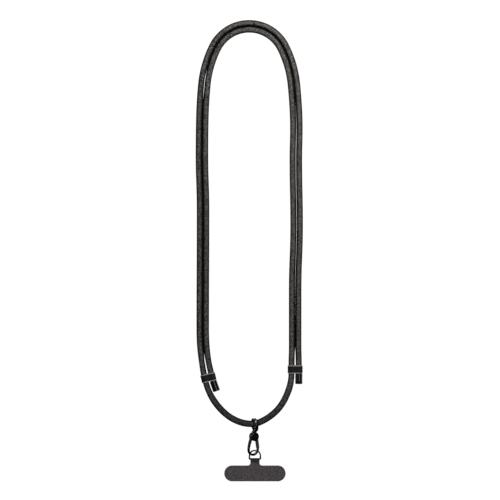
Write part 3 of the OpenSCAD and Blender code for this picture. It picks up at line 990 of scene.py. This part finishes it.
def build_gate(matrix):
    """Sprung gate: a soft-edged bar on a round hub."""
    width = SLOT_W - GATE_PLAY
    here = PIVOT + Vector((0.55, 0, 0))
    run = (Vector((BOW_R - 0.02, 0, PIVOT.z - GATE_REACH)) - here).normalized()
    line = []
    while (here - PIVOT).length < GATE_REACH:
        line.append(here)
        here = here + run * 0.25
    line.append(line[-1] + run * (GATE_REACH - 0.04 - (line[-1] - PIVOT).length))
    bar = sweep("gate_bar", line, soft_bar_section(GATE_W, width - 0.02, 2.8))
    hub = along_y(lathe("hub", rounded_disc(HUB_R, -width / 2, width / 2, 0.25), 48), PIVOT)
    gate = cast(joined("gate_casting", [bar, hub]), voxel=0.08, smoothing=4)
    cut(gate, along_y(rod("hole", GATE_HOLE_R, -4, 4, 40), PIVOT))
    # Its look is a lighter copy of the hook's metal: painted light.
    fit(gate, matrix, "gate", "gate", "gunmetal", look="gate_metal_painted_light")


def build_eye(matrix):
    """Swivel eye: a ring cast in one with the post that turns in the hook's head."""
    ring = [(x, 0, z) for x, z in arc((0, 0), EYE_R, 0, 360, 128)[:-1]]
    eye = sweep("eye", ring, soft_bar_section(EYE_T, EYE_W, 2.4), closed=True)
    upright = matrix.to_3x3().to_4x4().inverted()
    tilt = Matrix.Rotation(math.radians(EYE_LEAN), 4, "Y")
    turn = Matrix.Rotation(-math.radians(EYE_TURN), 4, "Z")
    eye.data.transform(upright @ Matrix.Translation((0, 0, -EYE_DROP)) @ tilt @ turn)
    neck = -HEAD_DROP + SLOT_TOP - 0.1       # top of the post's head
    seat = -HEAD_DROP + HEAD_D / 2 + 0.07    # underside of the shoulder
    root = -EYE_DROP - EYE_R                 # lowest point of the ring's middle line
    profile = rounded_disc(POST_HEAD_R, neck - POST_HEAD_T, neck, 0.15, 3)[:-1]
    profile += [(POST_D / 2, neck), (POST_D / 2, seat)]
    shoulder = ((0.1, 0), (0, 0.12), (0.3, 0.5), (0.8, SHOULDER_T))
    profile += [(SHOULDER_R - inwards, seat + rise) for inwards, rise in shoulder]
    flare = ((1.3, 0.1), (1.2, 0.4), (0.9, 0.8), (0.4, 1.1), (0, 1.15))
    profile += [(radius, root + rise) for radius, rise in flare]
    post = lathe("post", profile, 48)
    casting = cast(joined("swivel_casting", [eye, post]), voxel=0.09, smoothing=5)
    fit(casting, matrix, "swivel", "swivel_eye", "gunmetal")


def build_disc(name, matrix, face, node):
    """Polished cover of the head, slightly domed."""
    base = HEAD_T / 2 - DISC_SINK + 0.02
    radius = DISC_D / 2 - 0.02
    flat = radius - DISC_EDGE
    rim = arc((flat, DISC_T - DISC_DOME - DISC_EDGE), DISC_EDGE, 0, 90, 4)
    top = [(flat * k, DISC_T - DISC_DOME * k * k) for k in (0.85, 0.65, 0.45, 0.25, 0.0)]
    disc = lathe(name, [(0, 0), (radius, 0)] + rim + top, 96)
    disc.data.transform(Matrix.Rotation(-face * math.pi / 2, 4, "X"))
    moved(disc, (0, face * base, 0))
    fit(disc, matrix, "hook", node, "polished_black")


def build_spring(matrix):
    """Coil that closes up a little at its ends."""
    r = (SPRING_D - SPRING_WIRE) / 2
    steps = SPRING_STEPS * SPRING_TURNS
    line = []
    for k in range(steps + 1):
        share = k / steps
        share = share * share * (3 - 2 * share) * 0.35 + share * 0.65
        a = 2 * math.pi * k / SPRING_STEPS
        climb = share * (SPRING_L - SPRING_WIRE) + SPRING_WIRE / 2
        line.append((climb, r * math.cos(a), r * math.sin(a)))
    spring = sweep("gate_coil", line, round_section(SPRING_WIRE, 10), up=(1, 0.02, 0.03))
    moved(spring, SPRING_FOOT)
    fit(spring, matrix, "hook", "gate_spring", "spring_steel")
    along, foot = matrix.to_3x3() @ Vector((1, 0, 0)), matrix @ SPRING_FOOT * MM
    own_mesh(spring)


def build_d_ring():
    """Ring of wire: a straight bar, rounded corners, two short legs and a round crown."""
    low, high = box_mm("d_ring")
    wire = high.y - low.y
    half = (high.x - low.x - wire) / 2
    middle, y = (low.x + high.x) / 2, (low.y + high.y) / 2
    bar = low.z + wire / 2
    crown = high.z - wire / 2 - half
    turn_x, turn_z = half - RING_CORNER, bar + RING_CORNER
    line = [(x, bar) for x in np.linspace(-turn_x, turn_x, 24)]
    line += arc((turn_x, turn_z), RING_CORNER, -90, 0, 8)[1:]
    line += [(half, z) for z in np.linspace(turn_z, crown, 8)][1:]
    line += arc((0, crown), half, 0, 180, 56)[1:]
    line += [(-half, z) for z in np.linspace(crown, turn_z, 8)][1:]
    line += arc((-turn_x, turn_z), RING_CORNER, 180, 270, 8)[1:-1]
    heights = [bar, bar + RING_TAPER, crown - RING_TAPER, crown]
    wires = [wire, RING_LEG_WIRE, RING_LEG_WIRE, RING_TOP_WIRE]
    sections = [round_section(float(np.interp(z, heights, wires)), 24) for _, z in line]
    ring = sweep("d_ring_wire", [(middle + x, y, z) for x, z in line], sections, closed=True)
    fit(ring, HERE, "d_ring", "d_ring", "gunmetal")


# ==== phone tab ====

class TabShape:
    """Outline of the tab from its CAD layer: a pad with round ends and a stem with filleted corners."""

    def __init__(self, node):
        low, high = box_mm(node)
        self.mid = (low.x + high.x) / 2
        self.low_z = low.z
        self.half_w = (high.x - low.x) / 2
        self.top = high.z
        stem_low, stem_high = box_mm("tab_loop")
        inset = box_mm("tab_front")[1].x - high.x
        self.stem = (stem_high.x - stem_low.x) / 2 - inset
        self.r = PAD_H / 2 - inset
        self.fillet = FILLET_R + inset
        self.front, self.back = low.y, high.y

    def depth(self, x, z):
        """How far (x, z) is inside the outline."""
        pad_z = self.low_z + self.r
        past = max(abs(x) - (self.half_w - self.r), 0.0)
        pad = math.hypot(past, z - pad_z) - self.r
        stem = max(abs(x) - self.stem, z - self.top)
        if z < pad_z or pad > self.fillet or stem > self.fillet:
            return -min(pad, stem if z > pad_z else pad)
        if min(pad, stem) > 0:
            return math.hypot(self.fillet - pad, self.fillet - stem) - self.fillet
        return -min(pad, stem)

    def outline(self, inset):
        """Points round the outline, moved in by inset."""
        r, root = self.r - inset, self.stem - inset
        pad_z = self.low_z + self.r
        end = self.half_w - self.r
        f = self.fillet + inset
        top = self.top - inset
        line = arc((end, pad_z), r, -90, 90, 40)
        line += [(x, pad_z + r) for x in np.linspace(end, root + f, 34)[1:-1]]
        line += arc((root + f, pad_z + r + f), f, 270, 180, 10)
        line += [(root, z) for z in np.linspace(pad_z + r + f, top, 8)[1:]]
        mirrored = [(-x, z) for x, z in line[::-1]]
        line += [(x, top) for x in np.linspace(root, -root, 14)[1:-1]] + mirrored
        line += [(x, self.low_z + inset) for x in np.linspace(-end, end, 90)[1:-1]]
        return line


def sheet(name, shape, grid, edge, relief):
    """Flat layer with rounded rims. relief(x, z, depth) lifts a point of the front face."""
    insets = RIM_INSETS if edge > 0 else [0.0]
    points, rings = [], []
    for inset in insets:
        ring = shape.outline(inset)
        rings.append(range(len(points), len(points) + len(ring)))
        points += ring
    margin = insets[-1] + 0.6 * grid
    for row, z in enumerate(np.arange(shape.low_z, shape.top, grid)):
        start = -shape.half_w + (grid / 2 if row % 2 else 0)
        for x in np.arange(start, shape.half_w, grid):
            if shape.depth(x, z) > margin:
                points.append((x, z))
    edges = [(ring[k], ring[(k + 1) % len(ring)]) for ring in rings for k in range(len(ring))]
    made = delaunay_2d_cdt([Vector(p) for p in points], edges, [], 1, 1e-6)
    flat, triangles = made[0], made[2]
    rim = len(rings[0])
    count = len(flat)
    front, back, painted_rim_shade = [], [], []
    for k, p in enumerate(flat):
        inset = 0.0 if k < rim else max(0.0, shape.depth(p.x, p.y))
        short = max(0.0, edge - inset)
        drop = edge - math.sqrt(edge * edge - short * short)
        lift = relief(p.x, p.y, inset)
        front.append((shape.mid + p.x, shape.front + drop - lift, p.y))
        back.append((shape.mid + p.x, shape.back - drop, p.y))
        # How near the rim the point is, for the painted shade there.
        painted_rim_shade.append(1.0 - min(1.0, inset / 0.8))
    faces = []
    for t in triangles:
        a, b, c = [flat[i] for i in t]
        t = t if (b - a).cross(c - a) > 0 else t[::-1]
        faces += [tuple(t), tuple(count + i for i in t[::-1])]
    for k in range(rim):
        n = (k + 1) % rim
        faces.append((n, k, count + k, count + n))
    piece = new_object(name, front + back, faces)
    return marked(piece, "cut_edge", painted_rim_shade * 2)


def front_relief(x, z, inset):
    """Pressed line near the rim and a little hand-made waviness, none of it outside the CAD layer."""
    line = -0.07 * math.exp(-((inset - 1.05) / 0.16) ** 2)
    wave = 0.02 * (math.sin(x * 0.55 + 1.3) * math.sin(z * 0.7 + 0.4) - 1)
    return line + wave


def no_relief(x, z, inset):
    return 0.0


def build_tab():
    for name, node, slot, grid, edge, relief in (
            ("tab_face_fabric", "tab_front", "tab_fabric", SHEET_GRID, SHEET_EDGE, front_relief),
            ("tab_back_skin", "tab_back", "tab_backing", SHEET_GRID, SHEET_EDGE, no_relief),
            ("tab_stiffener", "tab_core", "tab_core", CORE_GRID, 0.0, no_relief)):
        piece = sheet(name, TabShape(node), grid, edge, relief)
        fit(piece, HERE, "tab", node, slot)


def build_tab_loop():
    """Strip of the same fabric folded over the ring's bar, its ends sewn to the stem."""
    low, high = box_mm("tab_loop")
    bar_z = box_mm("d_ring")[0].z + size_mm("d_ring").y / 2
    r = (high.y - low.y) / 2 - FOLD_T / 2
    leg = [(-r, z) for z in np.linspace(low.z - bar_z, 0, 9)]
    line = leg + arc((0, 0), r, 180, 0, 22)[1:] + [(-x, z) for x, z in leg[::-1]][1:]
    loop = strip("tab_fold", line, FOLD_T - 0.02, high.x - low.x, 0.16, 16)
    centre = Vector(((low.x + high.x) / 2, (low.y + high.y) / 2, bar_z))
    across = axes_matrix(Vector((0, 1, 0)), Vector((0, 0, 1)), Vector((1, 0, 0)), centre)
    # Its look is a darker copy of the tab's fabric: painted shade.
    fit(loop, across, "tab", "tab_loop", "tab_fabric", look="fold")
    plies = []
    for x in np.linspace(-3, 3, 5):
        for face in (-1, 1):
            ends = [(x + side * TAB_STITCH_L / 2, 0, TAB_STITCH_Z) for side in (-1, 1)]
            plies += stitch(*ends, r + FOLD_T / 2 + THREAD_D * 0.3, 0.5, (0, face, 0))
    thread = joined("tab_thread", plies)
    fit(thread, Matrix.Translation(centre), "tab", "tab_loop_stitches", "thread")


# ==== studio ====

def build_studio():
    """White surround that lights the object only faintly, and soft boxes round it."""
    world = bpy.data.worlds.new("studio")
    SCENE.world = world
    world.use_nodes = True
    nodes, links = world.node_tree.nodes, world.node_tree.links
    nodes.clear()
    seen, lit = nodes.new("ShaderNodeBackground"), nodes.new("ShaderNodeBackground")
    for background, strength in ((seen, WHITE_GLOW), (lit, ROOM_LIGHT)):
        background.inputs["Color"].default_value = (1, 1, 1, 1)
        background.inputs["Strength"].default_value = strength
    ray, out = nodes.new("ShaderNodeLightPath"), nodes.new("ShaderNodeOutputWorld")
    pick = nodes.new("ShaderNodeMixShader")
    for k, socket in enumerate((ray.outputs["Is Camera Ray"], lit.outputs[0], seen.outputs[0])):
        links.new(socket, pick.inputs[k])
    links.new(pick.outputs[0], out.inputs["Surface"])
    for name, place_m, size, watts in SOFT_BOXES:
        lamp = bpy.data.lights.new(name, "AREA")
        lamp.shape = "RECTANGLE"
        lamp.size, lamp.size_y = size
        lamp.energy = watts
        box = bpy.data.objects.new(name, lamp)
        box.location = place_m
        box.rotation_euler = (LIGHT_AIM - Vector(place_m)).to_track_quat("-Z", "Y").to_euler()
        SCENE.collection.objects.link(box)


def build_floor():
    """Pale floor. The camera sees it white. In reflections it is dark, so that metal stays black."""
    floor = lathe("floor", [(FLOOR_R, -4), (FLOOR_R, 0), (0, 0)], 96)
    moved(floor, (0, 0, cad_low.z / MM - FLOOR_DROP))
    place(floor, HERE)
    s = Shader("floor")
    grain = s.noise(0.02, 2.0)
    s.finish(Base_Color=s.blend(grain, "f4f4f3", "fbfbfa"), Roughness=0.9)
    ray = s.add("ShaderNodeLightPath")
    shader = s.surface.outputs[0]
    for kind, strength in (("Is Glossy Ray", FLOOR_IN_REFLECTIONS), ("Is Camera Ray", WHITE_GLOW)):
        glow = s.add("ShaderNodeEmission", {"Strength": strength}).outputs[0]
        shader = s.add("ShaderNodeMixShader", {0: ray.outputs[kind], 1: shader, 2: glow}).outputs[0]
    s.links.new(shader, s.nodes["Material Output"].inputs["Surface"])
    floor.data.materials.append(s.material)


def build_camera():
    camera = bpy.data.cameras.new("camera")
    camera.lens, camera.sensor_width = LENS, SENSOR
    eye = bpy.data.objects.new("camera", camera)
    eye.location = (VIEW_CENTRE[0], -FRAME_W * LENS / SENSOR, VIEW_CENTRE[1])
    eye.rotation_euler = (math.pi / 2, 0, 0)
    SCENE.collection.objects.link(eye)
    SCENE.camera = eye
    SCENE.view_settings.view_transform = "Standard"


def dress_cad_nodes():
    """CAD nodes that keep their shape get their material here."""
    for node, look in (("cord_core", "core"), ("gate_rivet", "gunmetal")):
        mesh = frame["nodes"][node].data
        mesh.materials.clear()
        mesh.materials.append(LOOKS[look])


cord_line, cord_run = evenly(smoothed(trace_cord()), BRAID_ROW)
build_cord(cord_line, cord_run)
build_cap("right_cap", "right_end_cap", cord_line[0], -cord_run[0])
build_cap("left_cap", "left_end_cap", cord_line[-1], cord_run[-1])

band_size = size_mm("right_slider_band")
band_pitch = band_size.x - 2 * (BAND_INSIDE_R + LEATHER_T) + BAND_SLACK
left_tilt = JOINTS["left_slider_travel"]["range_deg"][1]
for side, tilt in (("left", left_tilt), ("right", 0.0)):
    body, band_node, stitch_node = side + "_slider", side + "_slider_band", side + "_slider_stitches"
    at = slider_matrix(band_node, tilt)
    build_band(side + "_leather", at, band_pitch, band_size.z, body, band_node)
    build_band_stitches(side + "_thread", at, body, stitch_node)

swivel_at, hook_at = hook_matrices()
build_eye(swivel_at)
build_hook(hook_at)
build_disc("face_disc", hook_at, -1, "front_disc")
build_disc("rear_disc", hook_at, 1, "back_disc")
build_gate(hook_at)
build_spring(hook_at)
build_d_ring()
build_tab()
build_tab_loop()
dress_cad_nodes()
build_floor()
build_studio()
build_camera()
